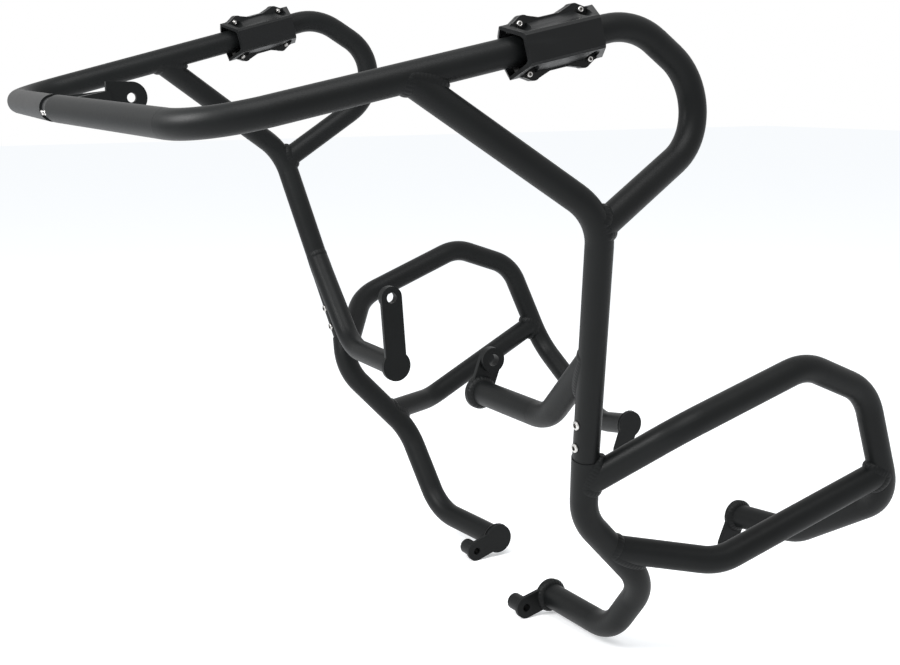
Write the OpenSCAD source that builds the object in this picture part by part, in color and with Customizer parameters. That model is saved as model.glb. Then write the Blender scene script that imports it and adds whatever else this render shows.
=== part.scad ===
// Motorcycle crash bars: two frames of bent and welded tube that meet at a joiner in front of the engine
// Points are written for the left frame as [rearward, to the right, upward] from the middle of the joiner.

/* [Tubes] */
// Outer diameter of the rails, diagonals and arms
upper_d = 25.4; // [24:0.1:28]
// Outer diameter of the lower tubes, loops and braces
lower_d = 26.9; // [25:0.1:29]
// Wall of every tube
tube_wall = 2; // [1.5:0.1:2.5]
// Centre line radius of the rail's bends
rail_bend = 65; // [50:1:67]
// Centre line radius of the bends in the other tubes
tube_bend = 56; // [45:1:58]
// Gap at each coped tube end, round each plug and in each screw hole
fit_gap = 0.05; // [0.02:0.01:0.2]
// Turn of the right frame about the joiner, 0 when the bars are bolted to the motorcycle
loose_turn = 4; // [0:0.5:6]

/* [Rail] */
// Left front corner, where the front bar turns into the rail
left_front_corner = [30, -289, -11]; // [-600:1:900]
// Right front corner, written for the left frame
right_front_corner = [31, -289, 2]; // [-600:1:900]
// Bend where the rail turns down
hoop_top = [416, -316, 73]; // [-600:1:900]
// Rearmost bend of the hoop
hoop_back = [527, -315, -5]; // [-600:1:900]

/* [Joiner] */
// Length of the joiner that shows between the two rails
joiner_gap = 17; // [12:1:22]
// Length of the joiner inside each rail
joiner_grip = 30; // [20:1:45]
// Distance between the joiner's two screws
joiner_screw_pitch = 9; // [7:0.5:10]
// Diameter of the joiner's screws
joiner_screw_d = 3; // [2.5:0.5:4]
// Angle of the joiner's screws below straight ahead
joiner_screw_dip = 20; // [0:1:60]

/* [Front bracket] */
// Middle of the front bracket's hole
front_hole = [71, 0, 9]; // [-600:1:900]
// Diameter of the front bracket's hole
front_hole_d = 9; // [6.6:0.2:11]
// Radius of the front bracket's round end
front_end_r = 15; // [12:0.5:18]
// Thickness of the front bracket's plates
front_plate = 4; // [3:0.5:6]
// Distance from the hole to the end of the bracket's side straps
strap_setback = 20; // [18:1:26]
// Sideways reach of the side straps along the front bar
strap_reach = 26; // [22:1:34]
// Height of the side straps
strap_h = 18; // [14:1:22]
// Height by which the straps' ends lie below the hole
strap_drop = 2; // [0:0.5:5]
// Length by which the tongue overlaps the straps
strap_lap = 4; // [2:0.5:8]

/* [Diagonal and down tube] */
// Distance of the diagonal's weld from the front corner along the rail
diagonal_start = 175; // [150:1:190]
// Bend where the diagonal turns into the down tube
down_bend = [364, -342, -90]; // [-600:1:900]
// Distance of the hoop's weld below that bend
hoop_weld_drop = 11; // [6:1:16]

/* [Sleeve] */
// Seam where the down tube meets the lower tube
seam = [397, -277, -321]; // [-600:1:900]
// Length of the plug inside the down tube
plug_up = 50; // [46:1:60]
// Length of the plug inside the lower tube
plug_down = 15; // [8:1:16]
// Distance of the lower sleeve screw above the seam
sleeve_screw_rise = 14; // [10:1:16]
// Distance between the two sleeve screws
sleeve_screw_pitch = 24; // [16:1:26]
// Diameter of the sleeve screws
sleeve_screw_d = 6; // [4:0.5:6.5]

/* [Arm] */
// Distance of the arm's weld below the bend of the down tube
arm_weld_drop = 137; // [120:1:150]
// Bend of the left arm
left_arm_bend = [395, -217, -296]; // [-600:1:900]
// Bend of the right arm, written for the left frame
right_arm_bend = [380, -217, -325]; // [-600:1:900]
// End of the left arm at its plate
left_arm_end = [396, -95, -294]; // [-600:1:900]
// End of the right arm at its plate, written for the left frame
right_arm_end = [374, -95, -326]; // [-600:1:900]
// Left arm's bolt hole seen from the middle of its plate, rearward and upward
left_arm_hole = [12, 33]; // [-100:1:100]
// Right arm's bolt hole seen from the middle of its plate, rearward and upward
right_arm_hole = [0, 80]; // [-100:1:100]
// Diameter of the arm plates' bolt holes
arm_hole_d = 12.5; // [8:0.1:14]
// Radius of the arm plates' strap ends
arm_strap_r = 13; // [11:0.5:15]
// Height of the boss round the arm plates' holes
arm_boss = 4; // [2:0.5:8]

/* [Lower tube] */
// First bend of the left lower tube
left_lower_bend_1 = [404, -264, -384]; // [-600:1:900]
// First bend of the right lower tube, written for the left frame
right_lower_bend_1 = [391, -264, -363]; // [-600:1:900]
// Second bend of the left lower tube
left_lower_bend_2 = [480, -262, -464]; // [-600:1:900]
// Second bend of the right lower tube, written for the left frame
right_lower_bend_2 = [471, -262, -458]; // [-600:1:900]
// Third bend of the left lower tube, where the foot turns inward
left_lower_bend_3 = [481, -206, -531]; // [-600:1:900]
// Third bend of the right lower tube, written for the left frame
right_lower_bend_3 = [479, -206, -555]; // [-600:1:900]
// End of the left foot at its plate
left_foot_end = [484, -95, -531]; // [-600:1:900]
// End of the right foot at its plate, written for the left frame
right_foot_end = [495, -95, -565]; // [-600:1:900]
// Foot's bolt hole seen from the middle of its plate, rearward and upward
foot_hole = [-32, -8]; // [-60:1:60]
// Diameter of the foot's bolt hole
foot_hole_d = 8.5; // [6.6:0.1:10]
// Radius of the foot plate's lobe
foot_lobe_r = 12; // [10:0.5:14]
// Diameter of the foot's spacer
spacer_d = 18; // [15:0.5:22]
// Length of the foot's spacer
spacer_h = 20; // [10:1:30]

/* [Loop] */
// Distance of the loop's weld below the sleeve seam
loop_weld_drop = 28; // [26:1:32]
// First bend of the loop
loop_bend_1 = [457, -338, -290]; // [-600:1:900]
// Second bend of the loop
loop_bend_2 = [607, -342, -246]; // [-600:1:900]
// Third bend of the loop
loop_bend_3 = [691, -341, -282]; // [-600:1:900]
// Fourth bend of the loop, where it turns inward
loop_bend_4 = [733, -336, -399]; // [-600:1:900]
// Fifth bend of the left loop, where it levels out
left_loop_bend_5 = [738, -204, -473]; // [-600:1:900]
// Fifth bend of the right loop, written for the left frame
right_loop_bend_5 = [736, -204, -489]; // [-600:1:900]
// End of the loop at its plate
loop_end = [725, -125, -474]; // [-600:1:900]
// Loop's bolt hole seen from the middle of its plate, rearward and upward
loop_hole = [-14, -31]; // [-60:1:60]
// Diameter of the loop plate's bolt hole
loop_hole_d = 8.5; // [6.6:0.1:10]
// Radius of the loop plate's strap end
loop_strap_r = 13; // [10:0.5:15]

/* [Brace] */
// Distance of the left brace's front weld below the first bend of the lower tube
left_brace_drop = 50; // [45:1:80]
// Distance of the right brace's front weld below the first bend of the lower tube
right_brace_drop = 86; // [50:1:95]
// Bend of the brace
brace_bend = [532, -310, -437]; // [-600:1:900]
// Distance of the brace's rear weld below the third bend of the loop
brace_rear_drop = 93; // [80:1:95]

/* [End plates] */
// Radius of the round plate on each tube end
end_plate_r = 17.5; // [15:0.5:20]
// Thickness of the end plates
end_plate = 5; // [3:0.5:8]

/* [Pads] */
// Distance of the pad's middle from the hoop's top bend along the rail
pad_place = 84; // [78:1:110]
// Length of the pad's rim
pad_length = 98; // [90:1:110]
// Length of the pad's flat face
pad_face_length = 73; // [60:1:84]
// Width of the pad's rim between the lugs
pad_rim_w = 45; // [42:1:50]
// Width of the pad's flat face
pad_face_w = 28; // [24:1:34]
// Distance of the pad's face from the middle of the rail
pad_depth = 25; // [20:1:32]
// Wall of the pad
pad_wall = 2.5; // [2:0.5:5]
// Thickness of the rim and of the lugs
rim_thick = 4; // [3:0.5:6]
// Gap between the two halves of the pad
pad_gap = 1; // [0.5:0.5:3]
// Gap between the pad's saddles and the rail
saddle_gap = 0.1; // [0.05:0.05:0.5]
// Roll of the pad round the rail
pad_roll = 3; // [-30:1:30]
// Distance between the screws along the rail
pad_screw_pitch = 60; // [50:1:64]
// Distance between the screws across the rail
pad_screw_span = 42; // [40:1:46]
// Radius of the lugs
lug_r = 6.5; // [5:0.5:8]
// Distance between the lugs' peaks along the rail
lug_pitch = 50; // [46:1:60]
// Direction in which a lug's round tip ends, in degrees from the rail
lug_lean = 52; // [40:1:70]
// Length of the slope from a lug down to the rim
lug_flank = 9; // [5:1:12]
// Width of rim left beside the rail at the pad's tips
rim_tip = 2; // [1:0.5:4]
// Length by which the rim runs past the body at each end
rim_ledge = 3; // [1:0.5:5]
// Chamfer along both sides of the flat face
pad_chamfer = 2.5; // [1:0.5:4]
// Distance of the outer saddles from the ends of the flat face
saddle_inset = 12; // [6:1:20]
// Radius of the pockets that the screw heads stand in
pocket_r = 6.5; // [5:0.5:7]
// Diameter of the pad's screws
pad_screw_d = 3; // [3:0.5:5]

/* [Hidden] */
$fn = 64;

// How far a bend is let into its straights, in degrees, and how much thinner it is drawn
bend_overlap = 0.5;
bend_draw = 0.05;
// Length that a cutting shape runs past what it cuts
past = 1;
// Length that no part reaches from the joiner
beyond = 1000;
// Height above the joiner's middle line at which its screws start
joiner_screw_root = 2.7;

powder_black = [0.16, 0.16, 0.17];
pad_black = [0.08, 0.08, 0.08];
stainless = [0.75, 0.75, 0.74];

upper_r = upper_d / 2;
lower_r = lower_d / 2;
joiner_r = upper_r - tube_wall - fit_gap;

function unit(v) = v / norm(v);

// Point at a distance d from a on the way to b
function ahead(a, b, d) = a + unit(b - a) * d;

// Angle by which a path turns at b
function turn(a, b, c) = acos(unit(b - a) * unit(c - b));

// Length that a bend of radius r takes from each straight beside it
function setback(a, b, c, r) = r * tan(turn(a, b, c) / 2);

// Part of v that is square to the direction along
function square_to(v, along) = unit(v - unit(along) * (v * unit(along)));

// Values of the two frames, the left one first
front_corner = [left_front_corner, right_front_corner];
lower_bend_1 = [left_lower_bend_1, right_lower_bend_1];
lower_bend_2 = [left_lower_bend_2, right_lower_bend_2];
lower_bend_3 = [left_lower_bend_3, right_lower_bend_3];
foot_end = [left_foot_end, right_foot_end];
arm_bend = [left_arm_bend, right_arm_bend];
arm_end = [left_arm_end, right_arm_end];
arm_hole = [left_arm_hole, right_arm_hole];
loop_bend_5 = [left_loop_bend_5, right_loop_bend_5];
brace_drop = [left_brace_drop, right_brace_drop];

hoop_weld = ahead(down_bend, seam, hoop_weld_drop);
arm_weld = ahead(down_bend, seam, arm_weld_drop);
brace_rear = ahead(loop_bend_3, loop_bend_4, brace_rear_drop);

// Paths of the tubes of frame s, 0 for the left one and 1 for the right one
function rail_path(s) =
    [ahead([0, 0, 0], front_corner[s], joiner_gap / 2), front_corner[s], hoop_top, hoop_back, hoop_weld];
function diagonal_path(s) = [ahead(front_corner[s], hoop_top, diagonal_start), down_bend, seam];
function arm_path(s) = [arm_weld, arm_bend[s], ahead(arm_end[s], arm_bend[s], -5 * past)];
function lower_path(s) = [
    ahead(seam, lower_bend_1[s], -5 * past), lower_bend_1[s], lower_bend_2[s], lower_bend_3[s],
    ahead(foot_end[s], lower_bend_3[s], -5 * past)
];
function loop_path(s) = [
    ahead(seam, lower_bend_1[s], loop_weld_drop), loop_bend_1, loop_bend_2, loop_bend_3, loop_bend_4,
    loop_bend_5[s], ahead(loop_end, loop_bend_5[s], -5 * past)
];
function brace_path(s) = [ahead(lower_bend_1[s], lower_bend_2[s], brace_drop[s]), brace_bend, brace_rear];

// Places children so that their +Z runs from a towards b
module reach(a, b) {
    d = b - a;
    translate(a)
        rotate([0, acos(d.z / norm(d)), atan2(d.y, d.x)])
            children();
}

// Places children at p with their +Z along z and their +X as near to x as that allows
module facing(p, z, x) {
    w = unit(z);
    u = square_to(x, z);
    v = cross(w, u);
    multmatrix([
        [u.x, v.x, w.x, p.x],
        [u.y, v.y, w.y, p.y],
        [u.z, v.z, w.z, p.z]
    ])
        children();
}

// One bend of a rod round the corner b, a hair thinner than the straights and let into them at both ends
module elbow(a, b, c, bend_r, rod_r) {
    u = unit(b - a);
    side = square_to(c - b, u);
    axis = cross(-side, u);
    centre = ahead(b, a, setback(a, b, c, bend_r)) + side * bend_r;
    facing(centre, axis, -side)
        rotate(-bend_overlap)
            rotate_extrude(angle = turn(a, b, c) + 2 * bend_overlap)
                translate([bend_r, 0])
                    circle(r = rod_r - bend_draw);
}

// Bend radius at b that leaves more than half of both straights beside it
function bend_at(a, b, c, bend_r) =
    min(bend_r, 0.62 * min(norm(b - a), norm(c - b)) / tan(turn(a, b, c) / 2));

// Solid rod along a path of corners, rounded at each of them
module rod(path, bend_r, rod_r) {
    last = len(path) - 1;
    bends = [for (i = [0 : last])
        i == 0 || i == last ? 0 : bend_at(path[i - 1], path[i], path[i + 1], bend_r)];
    trims = [for (i = [0 : last])
        i == 0 || i == last ? 0 : setback(path[i - 1], path[i], path[i + 1], bends[i])];
    for (i = [0 : last - 1]) {
        start = ahead(path[i], path[i + 1], trims[i]);
        end = ahead(path[i + 1], path[i], trims[i + 1]);
        reach(start, end)
            cylinder(h = norm(end - start), r = rod_r);
    }
    for (i = [1 : 1 : last - 1])
        elbow(path[i - 1], path[i], path[i + 1], bends[i], rod_r);
}

// The same path with both ends carried on by a length
function carried_on(path, length) = [
    for (i = [0 : len(path) - 1])
        i == 0 ? ahead(path[0], path[1], -length)
        : i == len(path) - 1 ? ahead(path[i], path[i - 1], -length)
        : path[i]
];

// Hollow tube along a path
module tube(path, bend_r, tube_r) {
    difference() {
        rod(path, bend_r, tube_r);
        rod(carried_on(path, past), bend_r, tube_r - tube_wall);
    }
}

// Straight stretch of a tube, grown by the fit gap, that another tube is coped to
module coped_to(a, b, tube_r) {
    reach(a, b)
        cylinder(h = norm(b - a), r = tube_r + fit_gap);
}

// Everything that lies further inboard than y
module inboard_of(y) {
    translate([0, y, -beyond])
        cube([beyond, beyond, 2 * beyond]);
}

// Plate across a tube end, square to the lateral axis: a disc and a strap that ends round a bolt hole
module end_plate_outline(hole, end_r, hole_d) {
    along = unit([hole.x, hole.y]);
    across = [-along.y, along.x] * end_r;
    difference() {
        union() {
            circle(r = end_plate_r);
            translate(hole)
                circle(r = end_r);
            polygon([across, -across, hole - across, hole + across]);
        }
        translate(hole)
            circle(d = hole_d);
    }
}

// Stands an outline up in the plane of the end plates, from the tube end inboard
module upright(p, thick) {
    translate([p.x, p.y + thick, p.z])
        rotate([90, 0, 0])
            linear_extrude(height = thick)
                children();
}

// Rail of frame s: front bar, top run and the hoop that comes down to the down tube
module rail(s) {
    color(powder_black)
        difference() {
            tube(rail_path(s), rail_bend, upper_r);
            rod(diagonal_path(s), tube_bend, upper_r + fit_gap);
        }
}

// Diagonal and down tube in one piece, with the holes for the sleeve screws
module diagonal(s) {
    color(powder_black)
        difference() {
            tube(diagonal_path(s), tube_bend, upper_r);
            coped_to(front_corner[s], hoop_top, upper_r);
            sleeve_screw_holes();
        }
}

// Puts children at the sleeve screws, with their +Z forward out of the down tube
module at_sleeve_screws() {
    along = seam - down_bend;
    for (i = [0, 1])
        facing(
            ahead(seam, down_bend, sleeve_screw_rise + i * sleeve_screw_pitch),
            square_to([-1, 0, 0], along),
            along
        )
            children();
}

// Holes of the sleeve screws, from the middle of the plug out
module sleeve_screw_holes() {
    at_sleeve_screws()
        cylinder(h = upper_d, d = sleeve_screw_d + 2 * fit_gap);
}

// Everything round the down tube's end, from a hair below the seam upward
module above_seam() {
    reach(seam, down_bend)
        translate([0, 0, -fit_gap])
            cylinder(h = lower_d, r = lower_d);
}

// Stepped plug that lines up the down tube and the lower tube
module plug(s) {
    color(powder_black)
        difference() {
            union() {
                reach(seam, down_bend)
                    translate([0, 0, -past])
                        cylinder(h = plug_up + past, r = upper_r - tube_wall - fit_gap);
                difference() {
                    reach(ahead(seam, lower_bend_1[s], -5 * past), lower_bend_1[s])
                        cylinder(h = plug_down + 5 * past, r = lower_r - tube_wall - fit_gap);
                    above_seam();
                }
            }
            sleeve_screw_holes();
        }
}

// Screws that hold the down tube on the plug
module sleeve_screws() {
    color(stainless)
        at_sleeve_screws() {
            translate([0, 0, fit_gap])
                cylinder(h = upper_r, d = sleeve_screw_d);
            translate([0, 0, upper_r])
                cylinder(h = sleeve_screw_d / 3, d = 1.5 * sleeve_screw_d);
        }
}

// Arm of frame s, from the down tube to its plate
module arm(s) {
    color(powder_black)
        difference() {
            tube(arm_path(s), tube_bend, upper_r);
            coped_to(down_bend, seam, upper_r);
            inboard_of(arm_end[s].y);
        }
}

// Plate on the arm's end, with a boss round its bolt hole
module arm_plate(s) {
    color(powder_black) {
        upright(arm_end[s], end_plate)
            end_plate_outline(arm_hole[s], arm_strap_r, arm_hole_d);
        upright(arm_end[s] - [0, arm_boss, 0], arm_boss)
            translate(arm_hole[s])
                ring(arm_strap_r, arm_hole_d);
    }
}

// Flat ring round a bolt hole
module ring(outer_r, hole_d) {
    difference() {
        circle(r = outer_r);
        circle(d = hole_d);
    }
}

// Lower tube of frame s, from the sleeve down to the foot
module lower_tube(s) {
    color(powder_black)
        difference() {
            tube(lower_path(s), tube_bend, lower_r);
            above_seam();
            inboard_of(foot_end[s].y);
        }
}

// Plate on the foot's end
module foot_plate(s) {
    color(powder_black)
        upright(foot_end[s], end_plate)
            end_plate_outline(foot_hole, foot_lobe_r, foot_hole_d);
}

// Spacer round the foot plate's bolt hole, inboard of the left plate and outboard of the right one
module foot_spacer(s) {
    color(powder_black)
        upright(foot_end[s] + [0, s == 0 ? end_plate : -spacer_h, 0], spacer_h)
            translate(foot_hole)
                ring(spacer_d / 2, foot_hole_d);
}

// Outer loop of frame s, from the lower tube back, down and inward to its plate
module loop(s) {
    color(powder_black)
        difference() {
            tube(loop_path(s), tube_bend, lower_r);
            rod(lower_path(s), tube_bend, lower_r + fit_gap);
            coped_to(down_bend, seam, upper_r);
            inboard_of(loop_end.y);
        }
}

// Plate on the loop's end
module loop_plate() {
    color(powder_black)
        upright(loop_end, end_plate)
            end_plate_outline(loop_hole, loop_strap_r, loop_hole_d);
}

// Brace of frame s, between the lower tube and the loop
module brace(s) {
    color(powder_black)
        difference() {
            tube(brace_path(s), tube_bend, lower_r);
            rod(lower_path(s), tube_bend, lower_r + fit_gap);
            rod(loop_path(s), tube_bend, lower_r + fit_gap);
        }
}

// Puts children at the middle of frame s's pad, with +X back along the rail and +Z outboard
module at_pad(s) {
    along = hoop_top - front_corner[s];
    outboard = square_to([0, -cos(pad_roll), sin(pad_roll)], along);
    facing(ahead(hoop_top, front_corner[s], pad_place), outboard, along)
        children();
}

// Puts children at each of the pad's four screws
module at_pad_screws() {
    for (x = [-1, 1], y = [-1, 1])
        translate([x * pad_screw_pitch / 2, y * pad_screw_span / 2])
            children();
}

// Outline of the pad's rim: a long bar with tapered tips and four round lugs that slope down to it
module rim_outline() {
    tip = upper_r + rim_tip;
    lean = lug_r * [cos(lug_lean), sin(lug_lean)];
    peak = [lug_pitch / 2, pad_screw_span / 2];
    polygon([
        [-pad_length / 2, -tip], [-pad_face_length / 2, -pad_rim_w / 2],
        [pad_face_length / 2, -pad_rim_w / 2], [pad_length / 2, -tip],
        [pad_length / 2, tip], [pad_face_length / 2, pad_rim_w / 2],
        [-pad_face_length / 2, pad_rim_w / 2], [-pad_length / 2, tip]
    ]);
    for (x = [-1, 1], y = [-1, 1])
        scale([x, y]) {
            translate(peak)
                circle(r = lug_r);
            polygon([
                [peak.x - lug_r - lug_flank, pad_rim_w / 2], peak + [-lean.x, lean.y],
                peak + lean, [pad_length / 2, tip], [0, 0]
            ]);
        }
}

// Prism of the pad's body, drawn in by a wall on its sides and its face
module body_prism(wall, length) {
    foot = pad_rim_w / 2 - wall;
    brow = pad_face_w / 2 - wall;
    top = pad_depth - wall;
    rotate([90, 0, 90])
        translate([0, 0, -length / 2])
            linear_extrude(height = length)
                polygon([
                    [-foot, pad_gap / 2], [foot, pad_gap / 2], [brow, top - pad_chamfer],
                    [brow - pad_chamfer, top], [pad_chamfer - brow, top], [-brow, top - pad_chamfer]
                ]);
}

// Slanted ends that the body is cut to
module body_ends() {
    rotate([90, 0, 0])
        translate([0, 0, -pad_rim_w])
            linear_extrude(height = 2 * pad_rim_w)
                polygon([
                    [rim_ledge - pad_length / 2, 0], [pad_length / 2 - rim_ledge, 0],
                    [pad_face_length / 2, pad_depth], [-pad_face_length / 2, pad_depth]
                ]);
}

// One half of the pad: rim with lugs, hollow body open at both ends, and saddles that sit on the rail
module pad_half() {
    base = pad_gap / 2;
    saddle_x = pad_face_length / 2 - saddle_inset;
    color(pad_black)
        difference() {
            union() {
                translate([0, 0, base])
                    linear_extrude(height = rim_thick)
                        rim_outline();
                intersection() {
                    body_prism(0, pad_length);
                    body_ends();
                }
            }
            difference() {
                translate([0, 0, -past])
                    body_prism(pad_wall, pad_length + 2 * past);
                at_pad_screws()
                    cylinder(h = pad_depth, r = pocket_r + pad_wall / 2);
                for (x = [-saddle_x, 0, saddle_x])
                    translate([x - pad_wall / 2, -pad_rim_w / 2, base])
                        cube([pad_wall, pad_rim_w, pad_depth]);
            }
            at_pad_screws() {
                translate([0, 0, base + rim_thick])
                    cylinder(h = pad_depth, r = pocket_r);
                cylinder(h = pad_depth, d = pad_screw_d + 4 * fit_gap);
            }
            translate([-pad_length, 0, 0])
                rotate([0, 90, 0])
                    cylinder(h = 2 * pad_length, r = upper_r + saddle_gap);
        }
}

// The pad's half that faces outboard, or the other one
module pad(s, outboard) {
    at_pad(s)
        rotate([outboard ? 0 : 180, 0, 0])
            pad_half();
}

// Screws that clamp the two halves on the rail
module pad_screws(s) {
    seat = pad_gap / 2 + rim_thick;
    color(stainless)
        at_pad(s)
            at_pad_screws() {
                translate([0, 0, seat])
                    cylinder(h = pad_screw_d, d = 1.7 * pad_screw_d);
                translate([0, 0, -seat - pad_screw_d])
                    cylinder(h = 2 * seat + pad_screw_d, d = pad_screw_d);
            }
}

// Nuts on the inboard lugs
module pad_nuts(s) {
    nut_h = 0.8 * pad_screw_d;
    color(stainless)
        at_pad(s)
            at_pad_screws()
                translate([0, 0, -pad_gap / 2 - rim_thick - nut_h])
                    difference() {
                        cylinder(h = nut_h, d = 1.8 * pad_screw_d, $fn = 6);
                        translate([0, 0, -past])
                            cylinder(h = nut_h + 2 * past, d = pad_screw_d + 2 * fit_gap);
                    }
}

// Point written for the left frame, carried over to the right one
function on_right(p) = [
    p.x * cos(loose_turn) - p.z * sin(loose_turn),
    -p.y,
    p.x * sin(loose_turn) + p.z * cos(loose_turn)
];

// Bent bar that plugs into the front ends of both rails, with two screw holes
module joiner() {
    grip = joiner_gap / 2 + joiner_grip;
    left_tip = ahead([0, 0, 0], left_front_corner, grip);
    right_tip = on_right(ahead([0, 0, 0], right_front_corner, grip));
    color(powder_black)
        difference() {
            rod([left_tip, [0, 0, 0], right_tip], tube_bend, joiner_r);
            at_joiner_screws()
                cylinder(h = upper_d, d = joiner_screw_d + 2 * fit_gap);
        }
}

// Puts children at the joiner's screws, with their +Z forward and a little down
module at_joiner_screws() {
    forward = [-cos(joiner_screw_dip), 0, -sin(joiner_screw_dip)];
    for (side = [-1, 1])
        facing([0, side * joiner_screw_pitch / 2, 0], forward, [0, 1, 0])
            translate([0, 0, joiner_screw_root])
                children();
}

// The joiner's two screws
module joiner_screws() {
    color(stainless)
        at_joiner_screws() {
            cylinder(h = joiner_r - joiner_screw_root, d = joiner_screw_d);
            translate([0, 0, joiner_r - joiner_screw_root])
                cylinder(h = joiner_screw_d / 2, d = 1.6 * joiner_screw_d);
        }
}

// Upright tongue with a bolt hole, carried by two straps that run back from the front bars
module front_bracket() {
    tail = front_hole - [strap_setback, 0, strap_drop];
    left_root = ahead([0, 0, 0], left_front_corner, strap_reach);
    right_root = on_right(ahead([0, 0, 0], right_front_corner, strap_reach));
    color(powder_black)
        difference() {
            union() {
                translate([tail.x - strap_lap, front_plate / 2, front_hole.z])
                    rotate([90, 0, 0])
                        linear_extrude(height = front_plate) {
                            translate([0, -front_end_r])
                                square([strap_setback + strap_lap, 2 * front_end_r]);
                            translate([strap_setback + strap_lap, 0])
                                circle(r = front_end_r);
                        }
                for (root = [left_root, right_root])
                    facing(root, tail - root, [0, 0, 1])
                        translate([-strap_h / 2, -front_plate / 2, 0])
                            cube([strap_h, front_plate, norm(tail - root)]);
            }
            coped_to([0, 0, 0], left_front_corner, upper_r);
            coped_to([0, 0, 0], on_right(right_front_corner), upper_r);
            translate([front_hole.x, front_plate, front_hole.z])
                rotate([90, 0, 0])
                    cylinder(h = 2 * front_plate, d = front_hole_d);
        }
}

// Moves the left frame's parts so that the front bracket's hole is the origin
module left() {
    translate(-front_hole)
        children();
}

// Mirrors a part of the left frame to the right, turned about the joiner
module right() {
    translate(-front_hole)
        rotate([0, -loose_turn, 0])
            mirror([0, 1, 0])
                children();
}

left() rail(0);  // left_rail
left() diagonal(0);  // left_diagonal
left() arm(0);  // left_arm
left() arm_plate(0);  // left_arm_plate
left() plug(0);  // left_plug
left() sleeve_screws();  // left_sleeve_screws
left() lower_tube(0);  // left_lower_tube
left() foot_plate(0);  // left_foot_plate
left() foot_spacer(0);  // left_foot_spacer
left() loop(0);  // left_loop
left() loop_plate();  // left_loop_plate
left() brace(0);  // left_brace
left() pad(0, true);  // left_pad_outer
left() pad(0, false);  // left_pad_inner
left() pad_screws(0);  // left_pad_screws
left() pad_nuts(0);  // left_pad_nuts
right() rail(1);  // right_rail
right() diagonal(1);  // right_diagonal
right() arm(1);  // right_arm
right() arm_plate(1);  // right_arm_plate
right() plug(1);  // right_plug
right() sleeve_screws();  // right_sleeve_screws
right() lower_tube(1);  // right_lower_tube
right() foot_plate(1);  // right_foot_plate
right() foot_spacer(1);  // right_foot_spacer
right() loop(1);  // right_loop
right() loop_plate();  // right_loop_plate
right() brace(1);  // right_brace
right() pad(1, true);  // right_pad_outer
right() pad(1, false);  // right_pad_inner
right() pad_screws(1);  // right_pad_screws
right() pad_nuts(1);  // right_pad_nuts
left() joiner();
left() joiner_screws();
left() front_bracket();
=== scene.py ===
"""Looks of motorcycle crash bars: powder-coated tubes, weld beads, moulded pads and stainless screws."""

import math

import bmesh
import bpy
import numpy as np
from bpy.props import FloatProperty, FloatVectorProperty, IntProperty, PointerProperty
from mathutils import Euler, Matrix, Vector


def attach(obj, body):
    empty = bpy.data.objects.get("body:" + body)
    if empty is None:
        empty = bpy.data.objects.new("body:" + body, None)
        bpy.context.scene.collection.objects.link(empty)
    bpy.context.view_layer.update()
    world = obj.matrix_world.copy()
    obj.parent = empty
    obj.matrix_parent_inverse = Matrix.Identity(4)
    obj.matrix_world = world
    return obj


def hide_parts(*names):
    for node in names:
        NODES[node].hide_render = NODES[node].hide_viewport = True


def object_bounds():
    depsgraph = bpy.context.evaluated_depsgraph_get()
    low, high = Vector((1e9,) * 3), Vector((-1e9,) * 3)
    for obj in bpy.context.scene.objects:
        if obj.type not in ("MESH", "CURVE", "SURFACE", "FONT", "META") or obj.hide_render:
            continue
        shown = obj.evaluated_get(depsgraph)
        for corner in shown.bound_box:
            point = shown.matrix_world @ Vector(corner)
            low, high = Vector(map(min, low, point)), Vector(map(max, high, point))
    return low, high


bl_info = {
    "name": "Motorcycle crash bars",
    "version": (1, 0, 0),
    "blender": (4, 5, 0),
    "location": "View3D > Sidebar > Crash Bars",
    "description": "Welds, pads, screws and finishes for a pair of motorcycle crash bars",
    "category": "Object",
}

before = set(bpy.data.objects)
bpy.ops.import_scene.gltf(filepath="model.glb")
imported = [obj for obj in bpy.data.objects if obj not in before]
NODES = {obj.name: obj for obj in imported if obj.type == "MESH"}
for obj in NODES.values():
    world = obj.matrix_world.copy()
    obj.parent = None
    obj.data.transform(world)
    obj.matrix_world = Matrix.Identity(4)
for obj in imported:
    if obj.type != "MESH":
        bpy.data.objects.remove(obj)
CAD_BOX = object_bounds()
MM = 0.001
SIDES = ("left", "right")

# Places in millimetres from the joiner, as rearward, to the right and upward. They are written for the left frame,
# and where a place has two rows, the second is the right frame's.
UPPER_R, LOWER_R = 12.7, 13.45
RAIL_BEND, TUBE_BEND = 65.0, 56.0
FRONT_HOLE = np.array([71.0, 0.0, 9.0])
LOOSE_TURN = math.radians(4.0)
FRONT_CORNER = np.array([[30, -289, -11], [31, -289, 2]], float)
HOOP_TOP, HOOP_BACK = np.array([416.0, -316, 73]), np.array([527.0, -315, -5])
DOWN_BEND, SEAM = np.array([364.0, -342, -90]), np.array([397.0, -277, -321])
ARM_BEND = np.array([[395, -217, -296], [380, -217, -325]], float)
ARM_END = np.array([[396, -95, -294], [374, -95, -326]], float)
LOWER_BENDS = np.array([
    [[404, -264, -384], [480, -262, -464], [481, -206, -531]],
    [[391, -264, -363], [471, -262, -458], [479, -206, -555]],
], float)
FOOT_END = np.array([[484, -95, -531], [495, -95, -565]], float)
LOOP_BENDS = np.array([[457, -338, -290], [607, -342, -246], [691, -341, -282], [733, -336, -399]], float)
LOOP_TURN_IN = np.array([[738, -204, -473], [736, -204, -489]], float)
LOOP_END = np.array([725.0, -125, -474])
BRACE_BEND = np.array([532.0, -310, -437])

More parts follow.
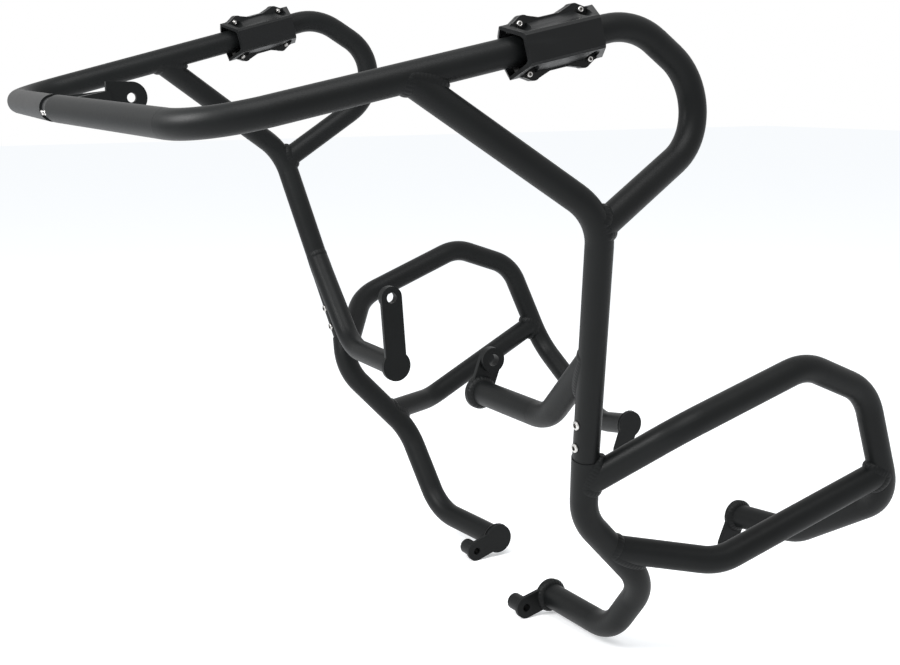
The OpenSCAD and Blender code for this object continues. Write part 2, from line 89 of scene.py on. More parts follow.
# Distances in millimetres along the tube that a piece sits on
FRONT_GAP, DIAGONAL_PLACE = 8.5, 175.0
HOOP_DROP, ARM_DROP, LOOP_DROP = 11.0, 137.0, 28.0
BRACE_DROP, BRACE_REAR = (50.0, 86.0), 93.0
PAD_PLACE, PAD_ROLL = 84.0, math.radians(3.0)
PAD_PITCH, PAD_SPAN, PAD_SEAT, PAD_SCREW = 60.0, 42.0, 4.5, 3.0
SLEEVE_RISE, SLEEVE_PITCH, SLEEVE_SCREW = 14.0, 24.0, 6.0
JOINER_R, JOINER_PITCH, JOINER_SCREW, JOINER_DIP = 10.65, 9.0, 3.0, math.radians(20.0)

# A bend takes at most this share of the shorter straight beside it
BEND_SHARE = 0.62

# A weld bead's feet and crown as shares of its leg: on a flat joint, and what a sharp one adds
FOOT_FLAT, FOOT_SHARP = 0.75, 0.35
CROWN_FLAT, CROWN_SHARP = 0.22, 0.2
MEAN_SWELL = 0.6

# Millimetres by which a bead's feet and its root lie under the skins, and which still count as touching
BEAD_SUNK, BEAD_ROOT, TOUCH = 0.12, 0.8, 0.15

# Millimetres searched along a branch for its joint, and how far off the other tube's centre line still counts
SEARCH_FROM, SEARCH_TO, NEAR = -24.0, 76.0, 110

# The camera that fits the photograph: pixels, millimetres, shares of the width, metres and degrees
PHOTO_WIDTH, FOCAL_LENGTH, SENSOR_WIDTH = 900, 1389.8, 36
CAMERA_SHIFT = (-0.0333, -0.0361)
CAMERA_PLACE = (-0.40697, -1.29041, 0.01393)
CAMERA_TURN = (81.0521, 0.21866, -31.4526)

GROUND_HALF = 12.0
GROUND_COLOR = (0.9, 0.9, 0.9)
ROOM_COLOR = (0.93, 0.965, 1.0, 1)
WHITE = (1, 1, 1, 1)


# Vectors and places

def unit(v):
    """A vector, or each row of an array of them, divided by its length."""
    v = np.asarray(v, float)
    return v / np.linalg.norm(v, axis=-1, keepdims=True)


def ahead(a, b, d):
    """The point at distance d from a on the way to b."""
    return a + unit(b - a) * d


def placed(points, side):
    """Points of the left frame, in metres in the part's frame.

    For the right one they are mirrored and turned about the joiner.
    """
    p = np.array(points, float)
    if side == 1:
        x, z = p[..., 0].copy(), p[..., 2].copy()
        p[..., 0] = x * math.cos(LOOSE_TURN) - z * math.sin(LOOSE_TURN)
        p[..., 1] *= -1
        p[..., 2] = x * math.sin(LOOSE_TURN) + z * math.cos(LOOSE_TURN)
    return (p - FRONT_HOLE) * MM


def axes(z, x):
    """Rows x, y and z of a right-handed frame: z is kept, and x is turned square to it."""
    w = unit(z)
    u = unit(x - w * np.dot(x, w))
    return np.array([u, np.cross(w, u), w])


def centre_line(path, radius, step=1.0):
    """Points along a path of corners rounded by arcs.

    An arc's point is its centre plus the radius times the cosine and sine of the swept angle.
    """
    path = [np.asarray(p, float) for p in path]
    pieces = [path[0][None]]
    for a, b, c in zip(path, path[1:], path[2:]):
        u, v = unit(b - a), unit(c - b)
        turn = math.acos(np.clip(np.dot(u, v), -1, 1))
        shorter = min(np.linalg.norm(b - a), np.linalg.norm(c - b))
        r = min(radius, BEND_SHARE * shorter / math.tan(turn / 2))
        inward = unit(v - u * np.dot(u, v))
        start = b - u * r * math.tan(turn / 2)
        phi = np.linspace(0, turn, max(4, int(r * turn / step)))[:, None]
        pieces.append(start + inward * r * (1 - np.cos(phi)) + u * r * np.sin(phi))
    pieces.append(path[-1][None])
    corners = np.concatenate(pieces)
    run = np.concatenate([[0], np.cumsum(np.linalg.norm(np.diff(corners, axis=0), axis=1))])
    s = np.linspace(0, run[-1], int(run[-1] / step) + 2)
    return np.stack([np.interp(s, run, corners[:, k]) for k in range(3)], 1)


def tube_paths(s):
    """Corner paths of one frame's tubes, by name."""
    corner, low = FRONT_CORNER[s], LOWER_BENDS[s]
    hoop_end = ahead(DOWN_BEND, SEAM, HOOP_DROP)
    brace_end = ahead(LOOP_BENDS[2], LOOP_BENDS[3], BRACE_REAR)
    return {
        "rail": [ahead(np.zeros(3), corner, FRONT_GAP), corner, HOOP_TOP, HOOP_BACK, hoop_end],
        "diagonal": [ahead(corner, HOOP_TOP, DIAGONAL_PLACE), DOWN_BEND, SEAM],
        "arm": [ahead(DOWN_BEND, SEAM, ARM_DROP), ARM_BEND[s], ARM_END[s]],
        "lower": [SEAM, *low, FOOT_END[s]],
        "loop": [ahead(SEAM, low[0], LOOP_DROP), *LOOP_BENDS, LOOP_TURN_IN[s], LOOP_END],
        "brace": [ahead(low[0], low[1], BRACE_DROP[s]), BRACE_BEND, brace_end],
    }


# Meshes

def skin(grid, around=True, along=False):
    """Vertices and quads of a surface sampled on a grid: neighbours are joined, and wrapped round where closed."""
    m, n = grid.shape[:2]
    i = np.arange(m if along else m - 1)[:, None]
    j = np.arange(n if around else n - 1)[None, :]
    i2, j2 = (i + 1) % m, (j + 1) % n
    quads = np.stack([i * n + j, i * n + j2, i2 * n + j2, i2 * n + j], -1)
    return grid.reshape(-1, 3), quads.reshape(-1, 4)


def make_object(name, parts, sharp):
    """One object from pairs of vertices in metres and quads, with its poles merged and its faces outward."""
    verts, faces, base = [], [], 0
    for v, f in parts:
        verts.append(v)
        faces.append(f + base)
        base += len(v)
    mesh = bpy.data.meshes.new(name)
    mesh.from_pydata(np.concatenate(verts).tolist(), [], np.concatenate(faces).tolist())
    clean(mesh, 1e-7)
    return finished(name, mesh, sharp)


def clean(mesh, distance, flat=None):
    """Merges doubles, drops faces without area, joins flat neighbours if asked and turns the faces outward."""
    bm = bmesh.new()
    bm.from_mesh(mesh)
    bmesh.ops.remove_doubles(bm, verts=bm.verts, dist=distance)
    bmesh.ops.dissolve_degenerate(bm, edges=bm.edges, dist=distance)
    if flat:
        bmesh.ops.dissolve_limit(bm, angle_limit=math.radians(flat), verts=bm.verts, edges=bm.edges)
    bmesh.ops.recalc_face_normals(bm, faces=bm.faces)
    bm.to_mesh(mesh)
    bm.free()


def finished(name, mesh, sharp):
    """Links a mesh as an object that rides on the part, smooth but for edges sharper than an angle."""
    mesh.polygons.foreach_set("use_smooth", np.ones(len(mesh.polygons), bool))
    mesh.set_sharp_from_angle(angle=math.radians(sharp))
    mesh.update()
    obj = bpy.data.objects.new(name, mesh)
    bpy.context.collection.objects.link(obj)
    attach(obj, "root")
    return obj


def rounded_copy(node, width, finish):
    """A copy of a CAD node whose edges are rounded by a bevel, in place of the node."""
    mesh = NODES[node].data.copy()
    clean(mesh, 1e-6, flat=0.6)
    obj = finished(node + "_rounded", mesh, 28.0)
    bevel = obj.modifiers.new("edges", "BEVEL")
    bevel.width = width * MM
    bevel.segments = 3
    bevel.limit_method = "ANGLE"
    bevel.angle_limit = math.radians(32)
    bevel.use_clamp_overlap = True
    bevel.harden_normals = True
    mesh.materials.clear()
    mesh.materials.append(finish)
    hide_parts(node)
    return obj


# Weld beads

def smoothed(rows, reach):
    """Each row of a closed run averaged with its neighbours on both sides."""
    return sum(np.roll(rows, k, 0) for k in range(-reach, reach + 1)) / (2 * reach + 1)


def bead_grid(line, out_a, out_b, settle_a, settle_b, leg, pitch, ripple, steps=9):
    """Rings of a weld bead: a low arc from a foot on one skin over a crown to a foot on the other.

    The arc is a quadratic curve, (1-u) squared, 2u(1-u) and u squared times foot, crown and foot. The crown swells
    by a cosine of the distance along the joint.
    """
    step = np.linalg.norm(np.roll(line, -1, 0) - line, axis=1)
    run = np.concatenate([[0], np.cumsum(step)[:-1]])
    waves = max(8, round(step.sum() / pitch))
    swell = np.abs(np.cos(math.pi * waves * run / step.sum()))[:, None]
    tangent = unit(smoothed(np.roll(line, -1, 0) - np.roll(line, 1, 0), 6))
    up, across = unit(np.cross(tangent, out_a)), unit(np.cross(out_b, tangent))
    side = np.sign((across * out_a).sum())
    out = unit(smoothed(unit(out_a + out_b), 4))
    corner = smoothed(np.clip((1 - (out_a * out_b).sum(-1)) / 2, 0, 1), 6)[:, None]
    reach = leg * (FOOT_FLAT + FOOT_SHARP * corner) * (1 + ripple * 0.5 * (swell - MEAN_SWELL))
    first = settle_a(line + side * up * reach) - out_a * BEAD_SUNK
    last = settle_b(line + side * across * reach) - out_b * BEAD_SUNK
    crown = (first + last) / 2 + out * leg * (CROWN_FLAT + CROWN_SHARP * corner + ripple * swell)
    u = np.linspace(0, 1, steps)[None, :, None]
    arc = (1 - u) ** 2 * first[:, None] + 2 * u * (1 - u) * crown[:, None] + u ** 2 * last[:, None]
    return np.concatenate([arc, (line - out * BEAD_ROOT)[:, None]], axis=1)


def joint_line(start, toward, outline, depth, count):
    """Where a branch's straight skin leaves another surface, the ways out of both and how to settle on each.

    Each line of the skin gives the last place that is inside the surface, or else the one nearest to it.
    """
    rows = axes(toward - start, np.array([0.31, 0.77, 0.55]))
    offsets = outline(np.linspace(0, 2 * math.pi, count, endpoint=False))
    rim = start + offsets @ rows[:2]
    t = np.arange(SEARCH_FROM, SEARCH_TO)
    deep = np.stack([depth(rim + d * rows[2])[0] for d in t])
    last = len(t) - 1 - np.argmax((deep > -TOUCH)[::-1], axis=0)
    hit = (deep > -TOUCH).any(axis=0)
    column = np.arange(count)
    after = np.minimum(last + 1, len(t) - 1)
    fall = deep[last, column] - deep[after, column]
    part = np.clip((deep[last, column] + TOUCH) / np.where(np.abs(fall) < 1e-6, 1, fall), 0, 1)
    at = np.where(hit, t[last] + part, t[np.argmax(deep, axis=0)])
    line = smoothed(rim + at[:, None] * rows[2], 3)

    def settle_branch(points):
        axis = start + ((points - start) @ rows[2])[:, None] * rows[2]
        return axis + unit(points - axis) * np.linalg.norm(offsets[0])

    def settle_other(points):
        below, away = depth(points)
        return points + away * below[:, None]
    return line, unit(offsets) @ rows[:2], depth(line)[1], settle_branch, settle_other


def circle(radius):
    """Outline of a round tube: radius times cosine and sine."""
    return lambda t: np.stack([np.cos(t), np.sin(t)], 1) * radius


def in_tube(path, bend, radius, near):
    """How deep points are inside a bent tube near a place, and the way out there.

    The depth is the radius less the distance to the centre line.
    """
    line = centre_line(path, bend, 1.0)
    line = line[np.linalg.norm(line - near, axis=1) < NEAR]

    def depth(points):
        gap = points[:, None] - line[None]
        nearest = np.argmin((gap ** 2).sum(-1), axis=1)
        away = gap[np.arange(len(points)), nearest]
        return radius - np.linalg.norm(away, axis=1), unit(away)
    return depth


def beyond_plate(y):
    """How far points are past the inboard face of an end plate, and the direction outboard."""
    return lambda points: (points[:, 1] - y, np.tile([0.0, -1.0, 0.0], (len(points), 1)))


# Screws

def hexed(theta, radius, hexness):
    """A circle's radius, blended into the hexagon inside it: the apothem over the cosine within each sixth."""
    within = (theta + math.pi / 6) % (math.pi / 3) - math.pi / 6
    hexagon = radius * math.cos(math.pi / 6) / np.cos(within)
    return radius * (1 - hexness) + hexagon * hexness


def lathe(rows, place, rows_xyz, side, count=48):
    """A turned shape at a place in a frame: rows of radius, height and how hexagonal they are, swept round."""
    theta = np.linspace(0, 2 * math.pi, count, endpoint=False)

    def ring(radius, height, hexness):
        r = hexed(theta, radius, hexness)
        return np.stack([r * np.cos(theta), r * np.sin(theta), np.full(count, height)], 1)
    grid = np.stack([ring(*row) for row in rows])
    return skin(placed(place + grid @ rows_xyz, side))


def socket_screw(head_r, head_h, shank_r, shank_l, crown=0.0):
    """Rows of a socket screw: hexagonal recess, rounded head and plain shank, with its seat at height 0."""
    key, recess = head_r * 0.56, -0.45 * head_r
    brim, tip = 0.12, 0.4
    return [
        (0.0, recess, 1), (key, recess, 1), (key, head_h - brim, 1), (key + brim, head_h, 0.6),
        (head_r * 0.72, head_h - crown * 0.3, 0), (head_r - 0.35, head_h - brim - crown * 0.6, 0),
        (head_r - 0.08, head_h - 0.4 - crown * 0.8, 0), (head_r, head_h - 0.7 - crown, 0), (head_r, 0.25, 0),
        (head_r - 0.2, 0.0, 0), (shank_r, 0.0, 0), (shank_r, tip - shank_l, 0), (shank_r - tip, -shank_l, 0),
        (0.0, -shank_l, 0),
    ]


def hexagon_nut(radius, height, bore):
    """Rows of a nut below height 0: its bore and six flats between two chamfered faces."""
    countersink, edge, face = 0.3, 0.35, radius - 0.5
    return [
        (bore, -countersink, 0), (face, 0, 0), (radius, -edge, 1), (radius, edge - height, 1),
        (face, -height, 0), (bore, countersink - height, 0), (bore, -countersink, 0),
    ]


def pad_place(s):
    """Middle and axes of one frame's pad: back along the rail, across it, and outboard."""
    along = HOOP_TOP - FRONT_CORNER[s]
    out = np.array([0, -math.cos(PAD_ROLL), math.sin(PAD_ROLL)])
    rail = unit(along)
    return ahead(HOOP_TOP, FRONT_CORNER[s], PAD_PLACE), axes(out - rail * np.dot(out, rail), along)


# Shader maths

class Value:
    """A socket that can be written in sums: each operator adds one Math node."""

    def __init__(self, graph, socket):
        self.graph, self.socket = graph, socket

    def math(self, operation, other, swap=False, clamp=False):
        pair = (other, self) if swap else (self, other)
        return self.graph.node("ShaderNodeMath", {"operation": operation, "use_clamp": clamp}, *pair)

    def __add__(self, other):
        return self.math("ADD", other)

    def __radd__(self, other):
        return self.math("ADD", other, swap=True)

    def __sub__(self, other):
        return self.math("SUBTRACT", other)

    def __rsub__(self, other):
        return self.math("SUBTRACT", other, swap=True)

    def __mul__(self, other):
        return self.math("MULTIPLY", other)

    def __rmul__(self, other):
        return self.math("MULTIPLY", other, swap=True)

    def above(self, low, high):
        """0 below low, 1 above high, and a straight rise between them."""
        return (self - low).math("MULTIPLY", 1.0 / (high - low), clamp=True)


class Graph:
    """An emptied node tree and the one method that adds its nodes."""

    def __init__(self, tree):
        self.tree = tree
        tree.nodes.clear()

    def node(self, kind, settings, *values, output=0, **named):
        """Adds a node: its settings first, then the values or links of its sockets by number or by name."""
        node = self.tree.nodes.new(kind)
        for key, value in settings.items():
            setattr(node, key, value)
        for key, value in [*enumerate(values), *named.items()]:
            socket = node.inputs[key if isinstance(key, int) else key.replace("_", " ")]
            if isinstance(value, Value):
                self.tree.links.new(value.socket, socket)
            elif value is not None:
                socket.default_value = value
        return Value(self, node.outputs[output]) if node.outputs else None

    def seen(self):
        """1 for the rays of the camera, of reflections and through glass, and 0 for those that carry light."""
        camera, glossy, through = [self.node("ShaderNodeLightPath", {}, output=f"Is {kind} Ray")
                                   for kind in ("Camera", "Glossy", "Transmission")]
        return camera.math("MAXIMUM", glossy).math("MAXIMUM", through)


class Shader(Graph):
    """A material with its Principled shader and Object coordinates."""

    def __init__(self, name, color, roughness, metallic=0.0, specular=0.5):
        self.material = bpy.data.materials.new(name)
        self.material.use_nodes = True
        super().__init__(self.material.node_tree)
        self.shown = self.node(
            "ShaderNodeBsdfPrincipled", {}, Base_Color=(*color, 1), Roughness=roughness, Metallic=metallic,
            Specular_IOR_Level=specular)
        self.surface = self.shown.socket.node
        self.object_place = self.node("ShaderNodeTexCoord", {}, output="Object")

    def noise(self, scale, detail=2.0, rough=0.5, stretch=(1, 1, 1)):
        """Noise from 0 to 1 over the object, stretched along its axes."""
        place = self.node("ShaderNodeMapping", {}, self.object_place, Scale=stretch)
        return self.node(
            "ShaderNodeTexNoise", {}, output="Fac", Vector=place, Scale=scale, Detail=detail, Roughness=rough)

    def blend(self, amount, first, second):
        """Mix of two colours by a value from 0 to 1."""
        sockets = [amount, None, None, None, None, None, (*first, 1), (*second, 1)]
        return self.node("ShaderNodeMix", {"data_type": "RGBA"}, *sockets, output=2)

    def bump(self, height, distance, strength=1.0):
        """Bump of a height from 0 to 1 that stands for a distance in metres."""
        return self.node(
            "ShaderNodeBump", {}, output="Normal", Strength=strength, Distance=distance, Height=height)

    def feed(self, socket, value):
        self.tree.links.new(value.socket, self.surface.inputs[socket])

    def done(self):
        """The material, once its output shows the shader."""
        self.node("ShaderNodeOutputMaterial", {}, Surface=self.shown)
        return self.material


def powder_coat(look):
    """Matte black powder coat: fine orange peel, faint cloudiness and a little unevenness in its gloss."""
    sh = Shader("powder_coat", look.coat_color, look.coat_roughness, specular=0.13)
    cloud = sh.noise(22.0, 3.0, 0.6)
    grain = sh.noise(900.0, 2.0, 0.6)
    peel = sh.noise(420.0, 2.0, 0.55)
    tone = cloud.above(0.35, 0.7) * 0.6 + grain * 0.4
    dark = [c * 0.82 for c in look.coat_color]
    pale = [c * 1.22 for c in look.coat_color]
    sh.feed("Base Color", sh.blend(tone, dark, pale))
    sh.feed("Roughness", cloud * 0.08 + grain * 0.08 + (look.coat_roughness - 0.08))
    sh.feed("Normal", sh.bump(peel * 0.7 + grain * 0.3, 0.00022, 0.55))
    return sh.done()


def moulded_plastic(look):
    """Satin moulded plastic: a fine spark-eroded texture, soft clouds in the gloss and faint rubbed streaks."""
    sh = Shader("moulded_plastic", look.pad_color, look.pad_roughness, specular=0.17)
    spark = sh.noise(1500.0, 2.0, 0.65)
    cloud = sh.noise(45.0, 3.0, 0.55)
    streak = sh.noise(60.0, 3.0, 0.6, stretch=(0.25, 1.6, 1.6)).above(0.6, 0.75)
    pale = [c * 1.5 + 0.004 for c in look.pad_color]
    sh.feed("Base Color", sh.blend(streak * 0.35 + cloud * 0.25, look.pad_color, pale))
    sh.feed("Roughness", cloud * 0.14 + streak * 0.06 + (look.pad_roughness - 0.07))
    sh.feed("Normal", sh.bump(spark, 0.00008, 0.45))
    return sh.done()


def stainless(look):
    """Plain stainless steel of small screws: turned finish with faint mottling."""
    sh = Shader("stainless", look.steel_color, 0.28, 1.0)
    fine = sh.noise(1800.0, 2.0, 0.6)
    cloud = sh.noise(260.0, 2.0, 0.5)
    dark = [c * 0.78 for c in look.steel_color]
    sh.feed("Base Color", sh.blend(cloud.above(0.35, 0.75), look.steel_color, dark))
    sh.feed("Roughness", fine * 0.12 + cloud * 0.1 + 0.18)
    sh.feed("Normal", sh.bump(fine, 0.00003, 0.4))
    return sh.done()


def satin_black(look):
    """Satin black of the turned joiner and plugs: tool marks across their length under thin paint."""
    sh = Shader("satin_black", look.plug_color, 0.38, specular=0.17)
    marks = sh.noise(500.0, 2.0, 0.6, stretch=(1.0, 5.0, 1.0))
    cloud = sh.noise(90.0, 2.0, 0.5)
    sh.feed("Base Color", sh.blend(cloud, look.plug_color, [c * 1.35 for c in look.plug_color]))
    sh.feed("Roughness", marks * 0.14 + 0.3)
    sh.feed("Normal", sh.bump(marks, 0.00008, 0.5))
    return sh.done()


FINISHES = {maker.__name__: maker for maker in (powder_coat, moulded_plastic, stainless, satin_black)}


def material(name):
    """A named finish, made the first time it is asked for."""
    return bpy.data.materials.get(name) or FINISHES[name](bpy.context.scene.crash_bar_look)


# Settings

class CrashBarLook(bpy.types.PropertyGroup):
    """Colours and gloss of the finishes."""
    coat_color: FloatVectorProperty(
        name="Powder coat", description="Colour of the tubes and plates", subtype="COLOR", size=3, min=0, max=1,
        default=(0.0048, 0.0054, 0.0055))
    coat_roughness: FloatProperty(
        name="Coat roughness", description="Mean roughness of the powder coat", min=0.1, max=1, default=0.44)
    pad_color: FloatVectorProperty(
        name="Pads", description="Colour of the moulded pads", subtype="COLOR", size=3, min=0, max=1,
        default=(0.004, 0.0044, 0.0046))
    pad_roughness: FloatProperty(
        name="Pad roughness", description="Mean roughness of the pads", min=0.1, max=1, default=0.36)
    steel_color: FloatVectorProperty(
        name="Screws", description="Colour of the stainless screws", subtype="COLOR", size=3, min=0, max=1,
        default=(0.5, 0.49, 0.475))
    plug_color: FloatVectorProperty(
        name="Joiner", description="Colour of the joiner and plugs", subtype="COLOR", size=3, min=0, max=1,
        default=(0.007, 0.0075, 0.008))


class CrashBarSizes(bpy.types.PropertyGroup):
    """Sizes of what is added to the tubes."""
    bead_leg: FloatProperty(
        name="Weld bead", description="Leg of the weld beads in millimetres", min=1, max=8, default=5.0)
    bead_pitch: FloatProperty(
        name="Bead pitch", description="Distance from one ripple of a bead to the next in millimetres",
        min=1, max=8, default=3.4)
    bead_ripple: FloatProperty(
        name="Bead ripple", description="Share of its leg by which a bead swells at each ripple",
        min=0, max=0.5, default=0.09)
    bead_steps: IntProperty(
        name="Bead steps", description="Rings along each bead", min=60, max=600, default=300)
    pad_edge: FloatProperty(
        name="Pad edges", description="Radius of the pads' moulded edges in millimetres",
        min=0.2, max=3, default=0.9)
    plate_edge: FloatProperty(
        name="Plate edges", description="Radius of the plates' cut edges in millimetres",
        min=0.1, max=2, default=0.5)


class CrashBarStage(bpy.types.PropertyGroup):
    """Light and ground."""
    key_power: FloatProperty(
        name="Key light", description="Power of the overhead soft light", unit="POWER", default=34)
    side_power: FloatProperty(
        name="Side light", description="Power of the side light", unit="POWER", default=21)
    world_strength: FloatProperty(
        name="Room light", description="Strength of the room's even light", default=0.75)
    ground_lift: FloatProperty(
        name="Ground lift", description="Brightness that the ground shows beyond its own light", default=0.31)


# Operators

class CRASHBARS_OT_tubes(bpy.types.Operator):
    """Finish of the tubes, the joiner and the plugs, whose CAD shapes stay"""
    bl_idname = "crashbars.tubes"
    bl_label = "Finish Tubes"

    def execute(self, context):
        finishes = {"joiner": "satin_black"}
        for side in SIDES:
            finishes[side + "_plug"] = "satin_black"
            for node in ("rail", "diagonal", "arm", "lower_tube", "loop", "brace"):
                finishes[f"{side}_{node}"] = "powder_coat"
        for node, finish in finishes.items():
            mesh = NODES[node].data
            mesh.materials.clear()
            mesh.materials.append(material(finish))
        return {"FINISHED"}


class CRASHBARS_OT_plates(bpy.types.Operator):
    """Plates, spacers and front bracket with softened edges"""
    bl_idname = "crashbars.plates"
    bl_label = "Round Plates"

    def execute(self, context):
        edge = context.scene.crash_bar_sizes.plate_edge
        kinds = ("arm_plate", "foot_plate", "foot_spacer", "loop_plate")
        for node in [*(f"{side}_{kind}" for side in SIDES for kind in kinds), "front_bracket"]:
            rounded_copy(node, edge, material("powder_coat"))
        return {"FINISHED"}


class CRASHBARS_OT_pads(bpy.types.Operator):
    """Both halves of both pads with moulded edges"""
    bl_idname = "crashbars.pads"
    bl_label = "Mould Pads"

    def execute(self, context):
        edge = context.scene.crash_bar_sizes.pad_edge
        for side in SIDES:
            for half in ("outer", "inner"):
                rounded_copy(f"{side}_pad_{half}", edge, material("moulded_plastic"))
        return {"FINISHED"}


class CRASHBARS_OT_welds(bpy.types.Operator):
    """Weld beads where tubes meet tubes and end plates"""
    bl_idname = "crashbars.welds"
    bl_label = "Lay Weld Beads"

    def joints(self, s):
        """One frame's joints by name: a branch's start, the point it heads for, its radius and what it meets."""
        paths = tube_paths(s)
        ends = {name: (path[0], path[1]) for name, path in paths.items()}
        ends["hoop"] = (paths["rail"][-1], paths["rail"][-2])
        ends["brace_rear"] = (paths["brace"][2], paths["brace"][1])
        branches = {
            "diagonal": ("rail", RAIL_BEND, UPPER_R),
            "hoop": ("diagonal", TUBE_BEND, UPPER_R),
            "arm": ("diagonal", TUBE_BEND, UPPER_R),
            "loop": ("lower", TUBE_BEND, LOWER_R),
            "brace": ("lower", TUBE_BEND, LOWER_R),
            "brace_rear": ("loop", TUBE_BEND, LOWER_R),
        }
        joints = {name: (*ends[name], radius, in_tube(paths[on], bend, radius, ends[name][0]))
                  for name, (on, bend, radius) in branches.items()}
        plates = {
            "arm_plate": (ARM_END[s], ARM_BEND[s], UPPER_R),
            "foot_plate": (FOOT_END[s], LOWER_BENDS[s][2], LOWER_R),
            "loop_plate": (LOOP_END, LOOP_TURN_IN[s], LOWER_R),
        }
        for name, (end, toward, radius) in plates.items():
            joints[name] = (end, toward, radius, beyond_plate(end[1]))
        return joints

    def execute(self, context):
        sizes = context.scene.crash_bar_sizes
        for s, side in enumerate(SIDES):
            for name, (start, toward, radius, depth) in self.joints(s).items():
                joint = joint_line(start, toward, circle(radius), depth, sizes.bead_steps)
                grid = bead_grid(*joint, sizes.bead_leg, sizes.bead_pitch, sizes.bead_ripple)
                obj = make_object(f"{side}_{name}_weld", [skin(placed(grid, s), along=True)], 80.0)
                obj.data.materials.append(material("powder_coat"))
        return {"FINISHED"}


class CRASHBARS_OT_screws(bpy.types.Operator):
    """Socket screws and nuts of the pads, the sleeves and the joiner"""
    bl_idname = "crashbars.screws"
    bl_label = "Fit Screws"

    def add(self, node, parts):
        obj = make_object(node + "_turned", parts, 30.0)
        obj.data.materials.append(material("stainless"))
        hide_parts(node)

    def pad_screws(self, s, side):
        middle, rows = pad_place(s)
        spots = [middle + np.array([x * PAD_PITCH / 2, y * PAD_SPAN / 2, PAD_SEAT]) @ rows
                 for x in (-1, 1) for y in (-1, 1)]
        shank = PAD_SCREW / 2
        screw = socket_screw(0.85 * PAD_SCREW, PAD_SCREW, shank, 2 * PAD_SEAT + PAD_SCREW)
        self.add(f"{side}_pad_screws", [lathe(screw, spot, rows, s) for spot in spots])
        nut = hexagon_nut(0.9 * PAD_SCREW, 0.8 * PAD_SCREW, shank + 0.1)
        under = [spot - 2 * PAD_SEAT * rows[2] for spot in spots]
        self.add(f"{side}_pad_nuts", [lathe(nut, spot, rows, s) for spot in under])

    def sleeve_screws(self, s, side):
        along = SEAM - DOWN_BEND
        rows = axes(np.array([-1.0, 0, 0]) - unit(along) * np.dot([-1, 0, 0], unit(along)), along)
        shank = SLEEVE_SCREW / 2
        screw = socket_screw(0.75 * SLEEVE_SCREW, SLEEVE_SCREW / 3, shank, UPPER_R - 0.5, 0.5)
        spots = [ahead(SEAM, DOWN_BEND, SLEEVE_RISE + i * SLEEVE_PITCH) + rows[2] * UPPER_R for i in (0, 1)]
        self.add(f"{side}_sleeve_screws", [lathe(screw, spot, rows, s) for spot in spots])

    def joiner_screws(self):
        out = np.array([-math.cos(JOINER_DIP), 0, -math.sin(JOINER_DIP)])
        rows = axes(out, np.array([0.0, 1, 0]))
        screw = socket_screw(0.8 * JOINER_SCREW, JOINER_SCREW / 2, JOINER_SCREW / 2, 0.74 * JOINER_R, 0.2)
        spots = [np.array([0, y * JOINER_PITCH / 2, 0]) + out * JOINER_R for y in (-1, 1)]
        self.add("joiner_screws", [lathe(screw, spot, rows, 0) for spot in spots])

    def execute(self, context):
        for s, side in enumerate(SIDES):
            self.pad_screws(s, side)
            self.sleeve_screws(s, side)
        self.joiner_screws()
        return {"FINISHED"}


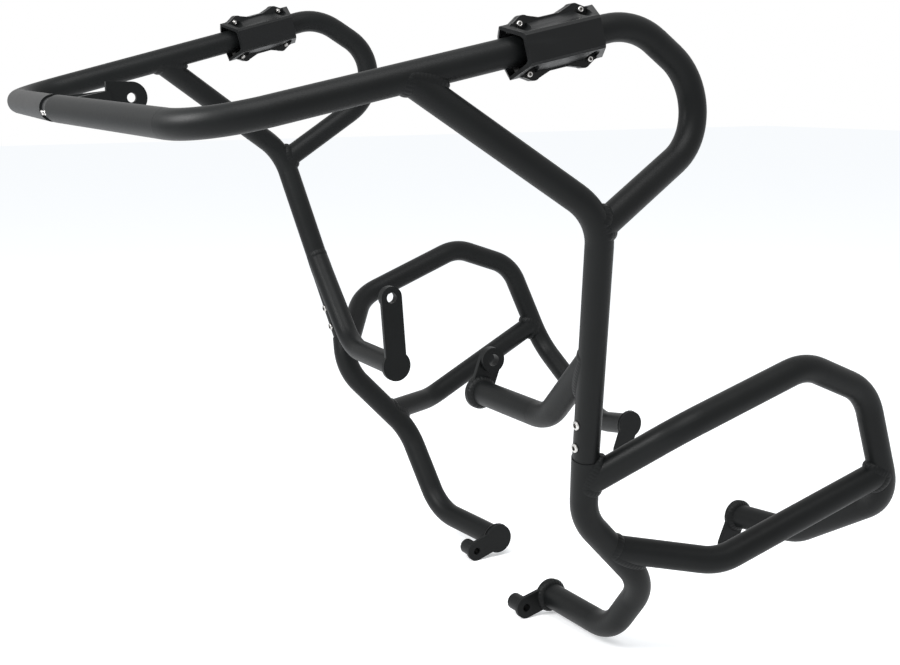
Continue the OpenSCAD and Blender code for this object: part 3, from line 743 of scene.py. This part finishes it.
class CRASHBARS_OT_stage(bpy.types.Operator):
    """Pale ground, soft lights and the camera"""
    bl_idname = "crashbars.stage"
    bl_label = "Set Stage"

    def ground(self, lift):
        """Pale matte ground, shown lighter than its own light makes it, so that only the shadows stand out."""
        sh = Shader("pale_ground", GROUND_COLOR, 0.9, specular=0.0)
        glow = sh.node("ShaderNodeEmission", {}, Strength=sh.seen() * lift)
        sh.shown = sh.node("ShaderNodeAddShader", {}, sh.shown, glow)
        low = CAD_BOX[0][2]
        corners = [(x * GROUND_HALF, y * GROUND_HALF, low) for x, y in ((-1, -1), (1, -1), (1, 1), (-1, 1))]
        mesh = bpy.data.meshes.new("ground")
        mesh.from_pydata(corners, [], [(0, 1, 2, 3)])
        mesh.materials.append(sh.done())
        floor = bpy.data.objects.new("ground", mesh)
        bpy.context.collection.objects.link(floor)

    def room(self, strength):
        """A world that lights the part evenly and shows white behind it."""
        world = bpy.data.worlds.new("room")
        world.use_nodes = True
        graph = Graph(world.node_tree)
        light = graph.node("ShaderNodeBackground", {}, Color=ROOM_COLOR, Strength=strength)
        white = graph.node("ShaderNodeBackground", {}, Color=WHITE)
        both = graph.node("ShaderNodeMixShader", {}, graph.seen(), light, white)
        graph.node("ShaderNodeOutputWorld", {}, Surface=both)
        bpy.context.scene.world = world

    def lamp(self, name, size, power, place, target):
        data = bpy.data.lights.new(name, "AREA")
        data.shape, data.size, data.energy = "DISK", size, power
        obj = bpy.data.objects.new(name, data)
        obj.location = place
        obj.rotation_euler = (Vector(target) - Vector(place)).to_track_quat("-Z", "Y").to_euler()
        bpy.context.collection.objects.link(obj)

    def camera(self):
        data = bpy.data.cameras.new("camera")
        data.sensor_width = SENSOR_WIDTH
        data.lens = FOCAL_LENGTH / PHOTO_WIDTH * SENSOR_WIDTH
        data.shift_x, data.shift_y = CAMERA_SHIFT
        data.clip_start, data.clip_end = 0.05, 50
        camera = bpy.data.objects.new("camera", data)
        camera.location = CAMERA_PLACE
        camera.rotation_euler = Euler([math.radians(a) for a in CAMERA_TURN], "XYZ")
        bpy.context.collection.objects.link(camera)
        bpy.context.scene.camera = camera

    def execute(self, context):
        stage = context.scene.crash_bar_stage
        self.ground(stage.ground_lift)
        self.room(stage.world_strength)
        self.lamp("overhead", 1.6, stage.key_power, (-0.1, -0.9, 1.7), (0.3, 0, -0.2))
        self.lamp("front", 0.6, stage.side_power, (-0.85, -0.1, 0.5), (0, -0.1, 0))
        self.camera()
        context.scene.view_settings.view_transform = "Standard"
        return {"FINISHED"}


class CRASHBARS_PT_panel(bpy.types.Panel):
    """Lists the settings and the operators"""
    bl_idname = "CRASHBARS_PT_panel"
    bl_label = "Crash Bars"
    bl_space_type = "VIEW_3D"
    bl_region_type = "UI"
    bl_category = "Crash Bars"

    def draw(self, context):
        for name, group in GROUPS.items():
            box = self.layout.box()
            for key in group.__annotations__:
                box.prop(getattr(context.scene, name), key)
        for operator in OPERATORS:
            self.layout.operator(operator.bl_idname)


GROUPS = {"crash_bar_look": CrashBarLook, "crash_bar_sizes": CrashBarSizes, "crash_bar_stage": CrashBarStage}
OPERATORS = (
    CRASHBARS_OT_tubes, CRASHBARS_OT_plates, CRASHBARS_OT_pads, CRASHBARS_OT_welds, CRASHBARS_OT_screws,
    CRASHBARS_OT_stage,
)
CLASSES = (*GROUPS.values(), *OPERATORS, CRASHBARS_PT_panel)


def register():
    for cls in CLASSES:
        bpy.utils.register_class(cls)
    for name, group in GROUPS.items():
        setattr(bpy.types.Scene, name, PointerProperty(type=group))


def unregister():
    for name in GROUPS:
        delattr(bpy.types.Scene, name)
    for cls in reversed(CLASSES):
        bpy.utils.unregister_class(cls)


def main():
    register()
    for operator in OPERATORS:
        area, name = operator.bl_idname.split(".")
        getattr(getattr(bpy.ops, area), name)()


if __name__ == "__main__":
    main()
